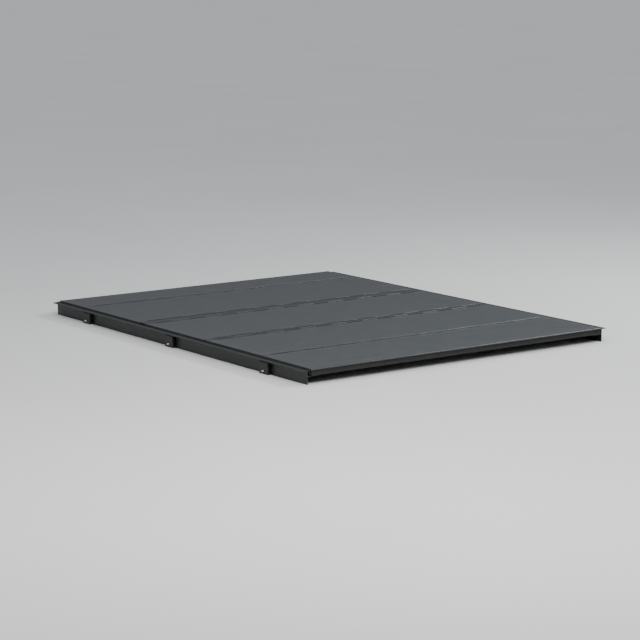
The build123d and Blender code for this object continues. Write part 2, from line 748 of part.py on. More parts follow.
os.makedirs("parts", exist_ok=True)

for number in PANELS:
    write(f"panel_{number}_frame", *frame(number))
    write(f"panel_{number}_top_skin", top_skin(number))
    write(f"panel_{number}_bottom_skin", bottom_skin(number))
    write(f"panel_{number}_core", core(number))

write("narrow_hinge_bar", hinge_bar(*NARROW_BAR))
write("wide_hinge_bar", hinge_bar(*WIDE_BAR))
write("rear_seam_hinge_pin", hinge_pin(REAR_SEAM))
write("narrow_bar_hinge_pins", *[hinge_pin(axis) for axis in NARROW_BAR])
write("wide_bar_hinge_pins", *[hinge_pin(axis) for axis in WIDE_BAR])
write("front_seam_hinge_pin", hinge_pin(FRONT_SEAM))

for number in LATCH_STATIONS:
    write(f"panel_{number}_latch_housings", *both_sides(latch_housing(number)))
    bolt = latch_bolt(number)
    write(f"panel_{number}_latch_bolt_right", bolt)
    write(f"panel_{number}_latch_bolt_left", left_of(bolt))

rail = side_rail()
write("side_rail_right", *rail)
write("side_rail_left", *[left_of(wall) for wall in rail])
write("rail_end_caps", *[cap for shape in rail_end_caps() for cap in both_sides(shape)])
write("side_seals", *both_sides(side_seal()))
write("tailgate_seal", tailgate_seal())
write("bulkhead_seal", bulkhead_seal())

for place, station in CLAMP_STATIONS.items():
    jaw = clamp_jaw(station)
    bolt = clamp_bolt(station)
    write(f"clamp_jaw_{place}_right", jaw)
    write(f"clamp_jaw_{place}_left", left_of(jaw))
    write(f"clamp_bolt_{place}_right", bolt)
    write(f"clamp_bolt_{place}_left", left_of(bolt))

rod = prop_rod()
write("prop_rod_right", rod)
write("prop_rod_left", left_of(rod))
foot = prop_rod_foot()
write("prop_rod_foot_right", foot)
write("prop_rod_foot_left", left_of(foot))
write("prop_rod_brackets", *[piece for shape in rod_bracket() for piece in both_sides(shape)])
write("prop_rod_clips", *both_sides(rod_clip()))
write("prop_rod_cradles", *both_sides(rod_cradle()))

front_bolts = [front_bolt(station) for station in FRONT_BOLT_STATIONS]
front_spacers = [front_spacer(station) for station in FRONT_BOLT_STATIONS]
drain_spouts = [drain_spout(station) for station in DRAIN_STATIONS]
write("front_panel_bolts", *[bolt for shape in front_bolts for bolt in both_sides(shape)])
write("front_panel_spacers", *[block for shape in front_spacers for block in both_sides(shape)])
write("drain_spouts", *[spout for shape in drain_spouts for spout in both_sides(shape)])

print(f"prop rod swing {rod_swing():.2f} degrees, cradle at station {cradle_station():.2f}")
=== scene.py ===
"""Looks of a hard folding tonneau cover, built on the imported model's frame. Units are metres."""

import json
import math

import bmesh
import bpy
from mathutils import Matrix, Vector, noise

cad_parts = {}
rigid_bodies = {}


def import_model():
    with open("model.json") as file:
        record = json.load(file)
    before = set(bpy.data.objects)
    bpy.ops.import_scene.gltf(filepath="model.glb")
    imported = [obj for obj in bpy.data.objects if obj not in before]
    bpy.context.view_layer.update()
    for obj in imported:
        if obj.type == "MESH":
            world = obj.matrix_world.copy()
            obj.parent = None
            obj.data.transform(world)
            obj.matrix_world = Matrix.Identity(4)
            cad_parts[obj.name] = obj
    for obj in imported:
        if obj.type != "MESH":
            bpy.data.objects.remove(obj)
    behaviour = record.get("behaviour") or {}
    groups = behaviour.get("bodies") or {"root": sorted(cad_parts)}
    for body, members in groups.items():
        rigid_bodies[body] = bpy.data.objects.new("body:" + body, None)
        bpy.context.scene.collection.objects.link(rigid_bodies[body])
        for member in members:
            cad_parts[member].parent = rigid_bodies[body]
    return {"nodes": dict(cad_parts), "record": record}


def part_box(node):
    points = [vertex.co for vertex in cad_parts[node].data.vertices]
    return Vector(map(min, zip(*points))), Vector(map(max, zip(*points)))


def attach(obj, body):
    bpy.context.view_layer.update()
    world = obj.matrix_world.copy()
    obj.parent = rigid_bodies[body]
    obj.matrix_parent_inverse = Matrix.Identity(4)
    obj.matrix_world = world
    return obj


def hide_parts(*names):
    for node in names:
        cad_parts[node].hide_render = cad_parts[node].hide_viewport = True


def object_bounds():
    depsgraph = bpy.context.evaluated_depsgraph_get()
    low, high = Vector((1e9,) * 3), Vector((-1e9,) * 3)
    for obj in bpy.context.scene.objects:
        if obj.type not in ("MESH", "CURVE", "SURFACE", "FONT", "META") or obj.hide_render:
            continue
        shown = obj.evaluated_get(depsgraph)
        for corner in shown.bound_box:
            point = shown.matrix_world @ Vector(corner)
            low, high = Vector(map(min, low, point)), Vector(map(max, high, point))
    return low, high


for default_object in list(bpy.data.objects):
    bpy.data.objects.remove(default_object)

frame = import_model()
cad_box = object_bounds()

MM = 0.001
NODES = frame["nodes"]
BODY_OF = {
    node: body
    for body, nodes in frame["record"]["behaviour"]["bodies"].items()
    for node in nodes
}
SLOT_OF = {part["node"]: part["material_slot"] for part in frame["record"]["subparts"]}
SIDES = {"right": 1, "left": -1}
PANELS = (1, 2, 3, 4, 5)
PLACES = ("rear", "middle", "front")

# ---------------------------------------------------------------- shader helpers


def new_material(name):
    material = bpy.data.materials.new(name)
    material.use_nodes = True
    tree = material.node_tree
    tree.nodes.clear()
    shader = tree.nodes.new("ShaderNodeBsdfPrincipled")
    output = tree.nodes.new("ShaderNodeOutputMaterial")
    tree.links.new(shader.outputs["BSDF"], output.inputs["Surface"])
    return material, tree, shader


def place(tree, stretch=(1, 1, 1)):
    """The point on the piece at rest, with each axis scaled."""
    coordinates = tree.nodes.new("ShaderNodeTexCoord")
    mapping = tree.nodes.new("ShaderNodeMapping")
    mapping.inputs["Scale"].default_value = stretch
    tree.links.new(coordinates.outputs["Object"], mapping.inputs["Vector"])
    return mapping.outputs["Vector"]


def noise_at(tree, vector, per_metre, detail, warp=0.0):
    node = tree.nodes.new("ShaderNodeTexNoise")
    node.inputs["Scale"].default_value = per_metre
    node.inputs["Detail"].default_value = detail
    node.inputs["Distortion"].default_value = warp
    tree.links.new(vector, node.inputs["Vector"])
    return node.outputs["Fac"]


def cells_at(tree, vector, per_metre, feature="F1"):
    node = tree.nodes.new("ShaderNodeTexVoronoi")
    node.feature = feature
    node.inputs["Scale"].default_value = per_metre
    tree.links.new(vector, node.inputs["Vector"])
    return node.outputs["Distance"]


def attribute(tree, name):
    node = tree.nodes.new("ShaderNodeAttribute")
    node.attribute_name = name
    return node.outputs["Fac"]


def remap(tree, value, start, end, low, high):
    """value from start to end becomes low to high, and stays there beyond."""
    node = tree.nodes.new("ShaderNodeMapRange")
    sockets = ("From Min", "From Max", "To Min", "To Max")
    for socket, number in zip(sockets, (start, end, low, high)):
        node.inputs[socket].default_value = number
    tree.links.new(value, node.inputs["Value"])
    return node.outputs["Result"]


def spread(tree, value):
    """The middle range of a noise, widened to run from 0 to 1."""
    return remap(tree, value, 0.3, 0.7, 0.0, 1.0)


def combine(tree, operation, a, b):
    node = tree.nodes.new("ShaderNodeMath")
    node.operation = operation
    for socket, value in zip(node.inputs, (a, b)):
        if isinstance(value, (int, float)):
            socket.default_value = value
        else:
            tree.links.new(value, socket)
    return node.outputs["Value"]


# Sockets of the mix node that carry colours.
MIX_A, MIX_B, MIX_RESULT = 6, 7, 2


def blend_colours(tree, factor, a, b):
    node = tree.nodes.new("ShaderNodeMix")
    node.data_type = "RGBA"
    tree.links.new(factor, node.inputs["Factor"])
    for socket, value in zip((node.inputs[MIX_A], node.inputs[MIX_B]), (a, b)):
        if isinstance(value, tuple):
            socket.default_value = (*value, 1.0)
        else:
            tree.links.new(value, socket)
    return node.outputs[MIX_RESULT]


def bump(tree, shader, height, depth, strength=1.0):
    node = tree.nodes.new("ShaderNodeBump")
    node.inputs["Strength"].default_value = strength
    node.inputs["Distance"].default_value = depth
    tree.links.new(height, node.inputs["Height"])
    tree.links.new(node.outputs["Normal"], shader.inputs["Normal"])


def scaled(colour, factor):
    return tuple(channel * factor for channel in colour)


# ---------------------------------------------------------------- materials

CHARCOAL = (0.041, 0.0462, 0.0492)
FRAME_CHARCOAL = (0.034, 0.0378, 0.040)
UNDER_COAT = (0.060, 0.062, 0.064)
ROD_COAT = (0.020, 0.021, 0.022)
ANODISED_BLACK = (0.016, 0.0165, 0.0175)
CAST_BLACK = (0.020, 0.0205, 0.022)
RUBBER_BLACK = (0.012, 0.012, 0.0125)
CAP_PLASTIC = (0.018, 0.018, 0.019)
HOUSING_PLASTIC = (0.019, 0.019, 0.020)
NYLON = (0.022, 0.022, 0.023)
HINGE_STEEL = (0.50, 0.51, 0.52)
BOLT_STEEL = (0.52, 0.53, 0.54)
ZINC = (0.56, 0.57, 0.56)
MILL_ALUMINIUM = (0.62, 0.63, 0.64)
BARE_ALUMINIUM = (0.42, 0.43, 0.44)
RUBBED_COAT = (0.17, 0.175, 0.18)
DUST = (0.30, 0.29, 0.27)
PAPER_DARK = (0.40, 0.31, 0.19)
PAPER_LIGHT = (0.58, 0.49, 0.34)
RESIN = (0.16, 0.10, 0.05)

# How many features of each noise or cell pattern there are in a metre.
COAT_MOTTLE = 7.0
COAT_PATCHES = 16.0
COAT_HAZE = 34.0
COAT_PEEL = 240.0
COAT_PEBBLE = 1300.0
RUB_PATCHES = 70.0
DIE_LINES = 900.0
RAIL_MOTTLE = 4.0
RAIL_SCUFFS = 210.0
DRAW_LINES = 1400.0
RUBBER_BLOOM = 14.0
RUBBER_SPECKS = 420.0
RUBBER_GRAIN = 2200.0
FLOW_MARKS = 38.0
SPARK_GRAIN = 1500.0
FINE_GRAIN = 3200.0
TURNING_LINES = 1600.0
PLATING_CLOUDS = 130.0
PLATING_SPOTS = 520.0
HONEYCOMB_CELLS = 110.0
PAPER_FIBRES = 700.0

# Dust lies this many times thicker along the borders of a skin.
BORDER_DUST = 1.4


def coated_metal(name, colour, roughness, specular, wear_colour=BARE_ALUMINIUM, dust=0.035):
    """Fine-textured powder coat: pebbled surface, faint mottling, settled dust and rubbed edges."""
    material, tree, shader = new_material(name)
    point = place(tree)
    mottle = noise_at(tree, point, COAT_MOTTLE, detail=6.0, warp=0.2)
    patches = noise_at(tree, place(tree, (0.7, 1.4, 1.0)), COAT_PATCHES, detail=8.0)
    pebble = noise_at(tree, point, COAT_PEBBLE, detail=2.0)
    peel = noise_at(tree, point, COAT_PEEL, detail=3.0)

    mottled = blend_colours(tree, spread(tree, mottle), scaled(colour, 0.95), scaled(colour, 1.04))
    specks = remap(tree, pebble, 0.35, 0.75, 0.0, 0.35)
    speckled = blend_colours(tree, specks, mottled, scaled(colour, 1.7))
    film = remap(tree, patches, 0.42, 0.80, 0.0, dust)
    border_film = remap(tree, patches, 0.3, 0.7, 0.0, dust * BORDER_DUST)
    border = combine(tree, "MULTIPLY", attribute(tree, "border"), border_film)
    settled = combine(tree, "ADD", film, border)
    dusty = blend_colours(tree, settled, speckled, DUST)
    handled = noise_at(tree, point, RUB_PATCHES, detail=6.0, warp=0.6)
    rub = remap(tree, handled, 0.52, 0.70, 0.0, 0.30)
    rubbed = combine(tree, "MULTIPLY", attribute(tree, "wear"), rub)
    tree.links.new(blend_colours(tree, rubbed, dusty, wear_colour), shader.inputs["Base Color"])

    haze = noise_at(tree, point, COAT_HAZE, detail=5.0)
    rough = remap(tree, haze, 0.3, 0.7, roughness - 0.02, roughness + 0.03)
    rough = combine(tree, "ADD", rough, combine(tree, "MULTIPLY", settled, 0.8))
    rough = combine(tree, "SUBTRACT", rough, combine(tree, "MULTIPLY", rubbed, 0.25))
    tree.links.new(rough, shader.inputs["Roughness"])
    shader.inputs["Specular IOR Level"].default_value = specular
    height = combine(tree, "ADD", pebble, combine(tree, "MULTIPLY", peel, 0.8))
    bump(tree, shader, height, 0.08 * MM)
    return material


def anodised(name, colour, roughness):
    """Black anodised aluminium: fine lines along Y, scuffs, and metal showing at rubbed edges."""
    material, tree, shader = new_material(name)
    point = place(tree)
    lines = noise_at(tree, place(tree, (1.0, 0.004, 1.0)), DIE_LINES, detail=3.0)
    scuffs = noise_at(tree, place(tree, (1.0, 0.10, 1.0)), RAIL_SCUFFS, detail=7.0, warp=0.2)
    mottle = noise_at(tree, point, RAIL_MOTTLE, detail=4.0)

    base = blend_colours(tree, spread(tree, mottle), scaled(colour, 0.8), scaled(colour, 1.25))
    lined = blend_colours(tree, remap(tree, lines, 0.4, 0.8, 0.0, 0.3), base, scaled(colour, 2.2))
    scuffed = blend_colours(tree, remap(tree, scuffs, 0.60, 0.80, 0.0, 0.12), lined, DUST)
    handled = noise_at(tree, point, RUB_PATCHES, detail=5.0)
    rub = remap(tree, handled, 0.50, 0.66, 0.0, 0.55)
    rubbed = combine(tree, "MULTIPLY", attribute(tree, "wear"), rub)
    bared = blend_colours(tree, rubbed, scuffed, BARE_ALUMINIUM)
    tree.links.new(bared, shader.inputs["Base Color"])

    rough = remap(tree, scuffs, 0.35, 0.75, roughness - 0.06, roughness + 0.12)
    tree.links.new(rough, shader.inputs["Roughness"])
    shader.inputs["Metallic"].default_value = 0.35
    height = combine(tree, "ADD", lines, combine(tree, "MULTIPLY", scuffs, 0.4))
    bump(tree, shader, height, 0.02 * MM)
    return material


def rubber(name, colour, along):
    """Extruded rubber: matt, with draw lines along the seal, grey bloom and trapped dust."""
    material, tree, shader = new_material(name)
    point = place(tree)
    draw = tuple(0.006 if axis == along else 1.0 for axis in range(3))
    lines = noise_at(tree, place(tree, draw), DRAW_LINES, detail=2.0)
    grain = noise_at(tree, point, RUBBER_GRAIN, detail=3.0)
    bloom = noise_at(tree, point, RUBBER_BLOOM, detail=6.0, warp=0.8)

    bloomed = remap(tree, bloom, 0.45, 0.80, 0.0, 0.5)
    base = blend_colours(tree, bloomed, colour, scaled(colour, 2.6))
    dots = noise_at(tree, point, RUBBER_SPECKS, detail=4.0)
    specks = remap(tree, dots, 0.66, 0.78, 0.0, 0.35)
    tree.links.new(blend_colours(tree, specks, base, DUST), shader.inputs["Base Color"])
    tree.links.new(remap(tree, bloom, 0.3, 0.7, 0.58, 0.78), shader.inputs["Roughness"])
    shader.inputs["Specular IOR Level"].default_value = 0.35
    height = combine(tree, "ADD", lines, combine(tree, "MULTIPLY", grain, 0.6))
    bump(tree, shader, height, 0.05 * MM)
    return material


def moulded(name, colour):
    """Moulded plastic: spark-eroded grain, faint flow marks, and polished corners that also carry a
    painted sheen.
    """
    material, tree, shader = new_material(name)
    point = place(tree)
    grain = cells_at(tree, point, SPARK_GRAIN)
    fine = noise_at(tree, point, FINE_GRAIN, detail=2.0)
    flow = noise_at(tree, place(tree, (1.0, 0.3, 1.0)), FLOW_MARKS, detail=5.0, warp=1.4)

    marks = remap(tree, flow, 0.35, 0.70, 0.0, 1.0)
    base = blend_colours(tree, marks, scaled(colour, 0.85), scaled(colour, 1.5))
    # Painted sheen: every rounded corner is painted lighter. Only the lower roughness further down
    # is real polish.
    polish_and_painted_sheen = combine(tree, "MULTIPLY", attribute(tree, "wear"), 0.45)
    painted_sheen_colour = blend_colours(tree, polish_and_painted_sheen, base, scaled(colour, 3.2))
    tree.links.new(painted_sheen_colour, shader.inputs["Base Color"])

    rough = remap(tree, flow, 0.3, 0.7, 0.46, 0.60)
    rough = combine(tree, "SUBTRACT", rough, combine(tree, "MULTIPLY", polish_and_painted_sheen, 0.3))
    tree.links.new(rough, shader.inputs["Roughness"])
    height = combine(tree, "ADD", grain, combine(tree, "MULTIPLY", fine, 0.5))
    bump(tree, shader, height, 0.04 * MM)
    return material


def bright_metal(name, colour, roughness, along):
    """Plated steel or bare aluminium: lines along one axis, a cloudy film and a few dull spots."""
    material, tree, shader = new_material(name)
    point = place(tree)
    lay = tuple(0.02 if axis == along else 1.0 for axis in range(3))
    lines = noise_at(tree, place(tree, lay), TURNING_LINES, detail=2.0)
    cloud = noise_at(tree, point, PLATING_CLOUDS, detail=5.0, warp=0.8)
    dots = noise_at(tree, point, PLATING_SPOTS, detail=3.0)
    spots = remap(tree, dots, 0.64, 0.74, 0.0, 0.5)

    base = blend_colours(tree, spread(tree, cloud), scaled(colour, 0.78), colour)
    spotted = blend_colours(tree, spots, base, scaled(colour, 0.45))
    tree.links.new(spotted, shader.inputs["Base Color"])

    rough = remap(tree, cloud, 0.3, 0.7, roughness - 0.07, roughness + 0.10)
    rough = combine(tree, "ADD", rough, combine(tree, "MULTIPLY", spots, 0.3))
    tree.links.new(rough, shader.inputs["Roughness"])
    shader.inputs["Metallic"].default_value = 1.0
    bump(tree, shader, combine(tree, "ADD", lines, cloud), 0.018 * MM)
    return material


def honeycomb(name):
    """Resin-dipped paper honeycomb, seen as cells with dark resin lines."""
    material, tree, shader = new_material(name)
    point = place(tree)
    walls = cells_at(tree, point, HONEYCOMB_CELLS, "DISTANCE_TO_EDGE")
    fibres = noise_at(tree, place(tree, (1.0, 0.2, 1.0)), PAPER_FIBRES, detail=5.0)

    paper = blend_colours(tree, spread(tree, fibres), PAPER_DARK, PAPER_LIGHT)
    rims = remap(tree, walls, 0.02, 0.10, 1.0, 0.0)
    tree.links.new(blend_colours(tree, rims, paper, RESIN), shader.inputs["Base Color"])
    tree.links.new(remap(tree, fibres, 0.3, 0.7, 0.66, 0.84), shader.inputs["Roughness"])
    bump(tree, shader, walls, 0.4 * MM, 0.6)
    return material


ALONG_X = 0
ALONG_Y = 1
ALONG_Z = 2
MATERIALS = {
    "panel_skin": coated_metal("charcoal_powder_coat", CHARCOAL, roughness=0.40, specular=0.34),
    "panel_frame": coated_metal(
        "charcoal_frame_coat",
        FRAME_CHARCOAL,
        roughness=0.35,
        specular=0.42,
        wear_colour=RUBBED_COAT,
        dust=0.03,
    ),
    "hinge_bar": coated_metal(
        "charcoal_hinge_coat",
        FRAME_CHARCOAL,
        roughness=0.54,
        specular=0.24,
        wear_colour=RUBBED_COAT,
        dust=0.03,
    ),
    "under_skin": coated_metal(
        "matt_under_coat", UNDER_COAT, roughness=0.56, specular=0.25, dust=0.05
    ),
    "core": honeycomb("paper_honeycomb"),
    "hinge_pin": bright_metal("hinge_steel", HINGE_STEEL, roughness=0.30, along=ALONG_X),
    "rail": anodised("black_anodised_rail", ANODISED_BLACK, roughness=0.40),
    "end_cap": moulded("black_cap_plastic", CAP_PLASTIC),
    "seal": rubber("seal_rubber_along_x", RUBBER_BLACK, along=ALONG_X),
    "clamp_jaw": anodised("black_cast_jaw", CAST_BLACK, roughness=0.48),
    "fastener": bright_metal("zinc_plated_steel", ZINC, roughness=0.34, along=ALONG_Z),
    "latch_housing": moulded("black_housing_plastic", HOUSING_PLASTIC),
    "latch_bolt": bright_metal("bright_bolt_steel", BOLT_STEEL, roughness=0.28, along=ALONG_X),
    "prop_rod": coated_metal("black_rod_coat", ROD_COAT, roughness=0.40, specular=0.40, dust=0.04),
    "moulded_nylon": moulded("black_nylon", NYLON),
    "spacer": bright_metal("mill_aluminium", MILL_ALUMINIUM, roughness=0.42, along=ALONG_Y),
}
SIDE_SEAL_RUBBER = rubber("seal_rubber_along_y", RUBBER_BLACK, along=ALONG_Y)

# ---------------------------------------------------------------- mesh helpers

WELD = 0.002 * MM
FLAT_ANGLE = math.radians(0.6)
SHARP_ANGLE = math.radians(38.0)
NORMAL_WEIGHT = 90
BEVEL_SEGMENTS = 2
# How far each kind of part is rounded at its sharp edges.
BEVEL = {
    "panel_frame": 0.45 * MM,
    "under_skin": 0.25 * MM,
    "hinge_bar": 0.45 * MM,
    "hinge_pin": 0.35 * MM,
    "rail": 0.20 * MM,
    "end_cap": 0.25 * MM,
    "seal": 0.50 * MM,
    "clamp_jaw": 0.35 * MM,
    "fastener": 0.25 * MM,
    "latch_housing": 0.60 * MM,
    "latch_bolt": 0.35 * MM,
    "prop_rod": 0.35 * MM,
    "moulded_nylon": 0.35 * MM,
    "spacer": 0.35 * MM,
}


def object_of(name, bm):
    """An object in the scene with the bmesh's shape; the bmesh is used up."""
    mesh = bpy.data.meshes.new(name)
    bm.to_mesh(mesh)
    bm.free()
    made = bpy.data.objects.new(name, mesh)
    bpy.context.scene.collection.objects.link(made)
    return made


def piece(name, bm, material, body, replaced=()):
    """Turns a bmesh into a piece that rides on a CAD body and may take the place of nodes."""
    bmesh.ops.recalc_face_normals(bm, faces=bm.faces)
    for face in bm.faces:
        face.smooth = True
    made = object_of(name, bm)
    made.data.materials.append(material)
    normals = made.modifiers.new("even_normals", "WEIGHTED_NORMAL")
    normals.weight = NORMAL_WEIGHT
    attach(made, body)
    if replaced:
        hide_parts(*replaced)


def shells(bm):
    """Groups of faces joined across plain edges: one for each solid, even where solids touch."""
    groups, seen = [], set()
    for first in bm.faces:
        if first.index in seen:
            continue
        seen.add(first.index)
        group, waiting = [], [first]
        while waiting:
            face = waiting.pop()
            group.append(face)
            for edge in face.edges:
                if len(edge.link_faces) != 2:
                    continue
                for other in edge.link_faces:
                    if other.index not in seen:
                        seen.add(other.index)
                        waiting.append(other)
        groups.append(group)
    return groups


def copy_of(node):
    """A welded copy of a CAD node's mesh, solid by solid, with its flat areas merged."""
    welded = bmesh.new()
    welded.from_mesh(NODES[node].data)
    bmesh.ops.remove_doubles(welded, verts=welded.verts, dist=WELD)
    welded.faces.index_update()
    bm = bmesh.new()
    for group in shells(welded):
        copies = {}
        for face in group:
            for vert in face.verts:
                if vert not in copies:
                    copies[vert] = bm.verts.new(vert.co)
            bm.faces.new([copies[vert] for vert in face.verts])
    welded.free()
    bmesh.ops.dissolve_limit(bm, angle_limit=FLAT_ANGLE, verts=bm.verts, edges=bm.edges)
    return bm


def soften(bm, width):
    """Rounds every sharp edge, and marks the rounded faces as open to wear."""
    wear = bm.loops.layers.float.new("wear")
    sharp = [
        edge
        for edge in bm.edges
        if len(edge.link_faces) == 2 and edge.calc_face_angle(0.0) > SHARP_ANGLE
    ]
    made = bmesh.ops.bevel(
        bm,
        geom=sharp,
        offset=width,
        segments=BEVEL_SEGMENTS,
        profile=0.5,
        affect="EDGES",
        clamp_overlap=False,
    )
    for face in made["faces"]:
        for loop in face.loops:
            loop[wear] = 1.0
    bmesh.ops.dissolve_degenerate(bm, edges=bm.edges, dist=WELD)


def stand_in(node, bm, material=None):
    """A finished piece that takes a CAD node's place."""
    slot = SLOT_OF[node]
    piece(f"{node}_finished", bm, material or MATERIALS[slot], BODY_OF[node], [node])


def finished(node, material=None):
    """The CAD node's own shape, with its edges softened."""
    bm = copy_of(node)
    soften(bm, BEVEL[SLOT_OF[node]])
    stand_in(node, bm, material)


TURN_SEGMENTS = 24


def turned(bm, centre, axis, profile):
    """Adds a shape turned about axis; profile lists (radius, height) from the rim to the middle."""
    rotation = Vector((0, 0, 1)).rotation_difference(Vector(axis)).to_matrix().to_4x4()
    to_place = Matrix.Translation(centre) @ rotation
    rings = []
    for radius, height in profile:
        ring = []
        for i in range(TURN_SEGMENTS):
            angle = 2 * math.pi * i / TURN_SEGMENTS
            spot = Vector((radius * math.cos(angle), radius * math.sin(angle), height))
            ring.append(bm.verts.new(to_place @ spot))
        rings.append(ring)
    for outer, inner in zip(rings, rings[1:]):
        for i in range(TURN_SEGMENTS):
            after = (i + 1) % TURN_SEGMENTS
            bm.faces.new((outer[i], outer[after], inner[after], inner[i]))
    bm.faces.new(rings[-1])
    bm.faces.new(rings[0][::-1])


def halves(node):
    """The right and left boxes of a node that has a solid, or a mirrored group, on each side."""
    boxes = []
    vertices = [v.co for v in NODES[node].data.vertices]
    for side in SIDES.values():
        points = [co for co in vertices if co.x * side > 0]
        low = [min(co[axis] for co in points) for axis in range(3)]
        high = [max(co[axis] for co in points) for axis in range(3)]
        boxes.append((low, high))
    return boxes


def middle_of(node):
    """The middle of the box around a node's right half."""
    low, high = halves(node)[0]
    return [(a + b) / 2 for a, b in zip(low, high)]


def ends_of(node):
    """The two stations, rear and front, where a node's round solids stand."""
    low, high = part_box(node)
    right_low, right_high = halves(node)[0]
    radius = (right_high[0] - right_low[0]) / 2
    return low[1] + radius, high[1] - radius


# ---------------------------------------------------------------- panels' top skins

SKIN_CELL = 22 * MM
SKIN_ROLL = 0.6 * MM
ROLL_ANGLES = (0, 35, 65)
ROLL_WEAR_SHARE = 0.9
RIPPLE_HEIGHT = {5: 0.10 * MM, 4: 0.14 * MM, 3: 0.22 * MM, 2: 0.30 * MM, 1: 0.26 * MM}
RIPPLE_HOLD = 70 * MM
WIDE_RIPPLE = (1.7, 3.1, 0.4)
NARROW_RIPPLE = (4.6, 6.8, 2.7)
NARROW_RIPPLE_SHARE = 0.35
BORDER_FADE = 45 * MM


def spaced(low, high):
    """Grid lines across a skin: close together over the rolled edge, then even."""
    flat = high - low - 2 * SKIN_ROLL
    count = round(flat / SKIN_CELL)
    even = [low + SKIN_ROLL + flat * i / count for i in range(count + 1)]
    roll = [SKIN_ROLL * (1 - math.cos(math.radians(angle))) for angle in ROLL_ANGLES]
    return [low + d for d in roll] + even + [high - d for d in reversed(roll)]


def ripple(x, y, height, hold):
    """Faint unevenness of a thin bonded sheet, held flat near its edges."""
    wide, narrow = (
        noise.noise(Vector((x * per_x, y * per_y, layer)))
        for per_x, per_y, layer in (WIDE_RIPPLE, NARROW_RIPPLE)
    )
    return height * (wide + NARROW_RIPPLE_SHARE * narrow) * hold


def top_skin(number):
    """A thin sheet, faintly uneven, whose edges roll down; its underside stays flat."""
    node = f"panel_{number}_top_skin"
    low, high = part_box(node)
    bm = bmesh.new()
    wear = bm.verts.layers.float.new("wear")
    border = bm.verts.layers.float.new("border")
    xs, ys = spaced(low[0], high[0]), spaced(low[1], high[1])
    rows = []
    for y in ys:
        row = []
        for x in xs:
            edge = min(x - low[0], high[0] - x, y - low[1], high[1] - y)
            inside = max(0.0, SKIN_ROLL - edge)
            drop = SKIN_ROLL - math.sqrt(max(SKIN_ROLL**2 - inside**2, 0.0))
            hold = min(edge / RIPPLE_HOLD, 1.0) ** 2
            z = high[2] - drop + ripple(x, y, RIPPLE_HEIGHT[number], hold)
            vert = bm.verts.new((x, y, z))
            vert[wear] = 1.0 if edge < SKIN_ROLL * ROLL_WEAR_SHARE else 0.0
            vert[border] = max(0.0, 1.0 - edge / BORDER_FADE)
            row.append(vert)
        rows.append(row)
    for lower, upper in zip(rows, rows[1:]):
        for i in range(len(xs) - 1):
            bm.faces.new((lower[i], lower[i + 1], upper[i + 1], upper[i]))
    right_side = [row[-1] for row in rows[1:-1]]
    left_side = [row[0] for row in rows[-2:0:-1]]
    rim = rows[0] + right_side + rows[-1][::-1] + left_side
    foot = [bm.verts.new((v.co.x, v.co.y, low[2])) for v in rim]
    for i, vert in enumerate(rim):
        after = (i + 1) % len(rim)
        bm.faces.new((rim[after], vert, foot[i], foot[after]))
    bm.faces.new(foot)
    stand_in(node, bm)


# ---------------------------------------------------------------- threaded clamp bolts

THREAD_PITCH = 1.25 * MM
THREAD_RADIUS = 4.0 * MM
THREAD_DEPTH = 0.72 * MM
THREAD_ROOT = THREAD_RADIUS - THREAD_DEPTH
THREAD_SEGMENTS = 24
THREAD_PROFILE = (0.0, 0.25, 0.85, 1.0, 0.85, 0.25)
THREAD_STEPS = len(THREAD_PROFILE)
HEAD_LENGTH = 8.2 * MM


def thread(bm, start, end, y, z, side):
    """A screw thread along X from start outwards to end, closed at both ends."""
    length = abs(end - start)
    turns = math.ceil(length / THREAD_PITCH)

    def point(along, radius, angle):
        across, up = radius * math.cos(angle), radius * math.sin(angle)
        return (start + side * along, y + across, z + up)

    angles = [2 * math.pi * i / THREAD_SEGMENTS for i in range(THREAD_SEGMENTS)]
    columns = []
    for i, angle in enumerate(angles):
        column = []
        for j in range((turns + 1) * THREAD_STEPS + 1):
            along = THREAD_PITCH * (j / THREAD_STEPS - 1 + i / THREAD_SEGMENTS)
            along = min(max(along, 0.0), length)
            taper = min(1.0, along / THREAD_PITCH, (length - along) / THREAD_PITCH)
            crest = THREAD_PROFILE[j % THREAD_STEPS] * taper
            column.append(bm.verts.new(point(along, THREAD_ROOT + THREAD_DEPTH * crest, angle)))
        columns.append(column)
    for i, column in enumerate(columns):
        shift = THREAD_STEPS if i == THREAD_SEGMENTS - 1 else 0
        other = columns[(i + 1) % THREAD_SEGMENTS]
        for j in range(len(column) - 1):
            k = j + shift
            if k + 1 < len(other):
                bm.faces.new((column[j], column[j + 1], other[k + 1], other[k]))
    for at in (0.0, length):
        bm.faces.new([bm.verts.new(point(at, THREAD_ROOT, angle)) for angle in angles])
    bmesh.ops.remove_doubles(bm, verts=bm.verts, dist=WELD)
    bmesh.ops.dissolve_degenerate(bm, edges=bm.edges, dist=WELD)


def clamp_bolt(place_name, side_name):
    """The CAD bolt's head, with a threaded shank in place of the plain one."""
    node = f"clamp_bolt_{place_name}_{side_name}"
    side = SIDES[side_name]
    low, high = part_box(node)
    middle_y, middle_z = (low[1] + high[1]) / 2, (low[2] + high[2]) / 2
    inner, outer = (low[0], high[0]) if side > 0 else (high[0], low[0])
    shank_start = inner + side * HEAD_LENGTH
    bm = copy_of(node)
    bmesh.ops.bisect_plane(
        bm,
        geom=[*bm.verts, *bm.edges, *bm.faces],
        plane_co=(shank_start, 0, 0),
        plane_no=(side, 0, 0),
        clear_outer=True,
    )
    bmesh.ops.holes_fill(bm, edges=[edge for edge in bm.edges if len(edge.link_faces) == 1])
    soften(bm, BEVEL["fastener"])
    thread(bm, shank_start, outer, middle_y, middle_z, side)
    stand_in(node, bm)


# ---------------------------------------------------------------- sections and extrusions

ARC_STEPS = 5


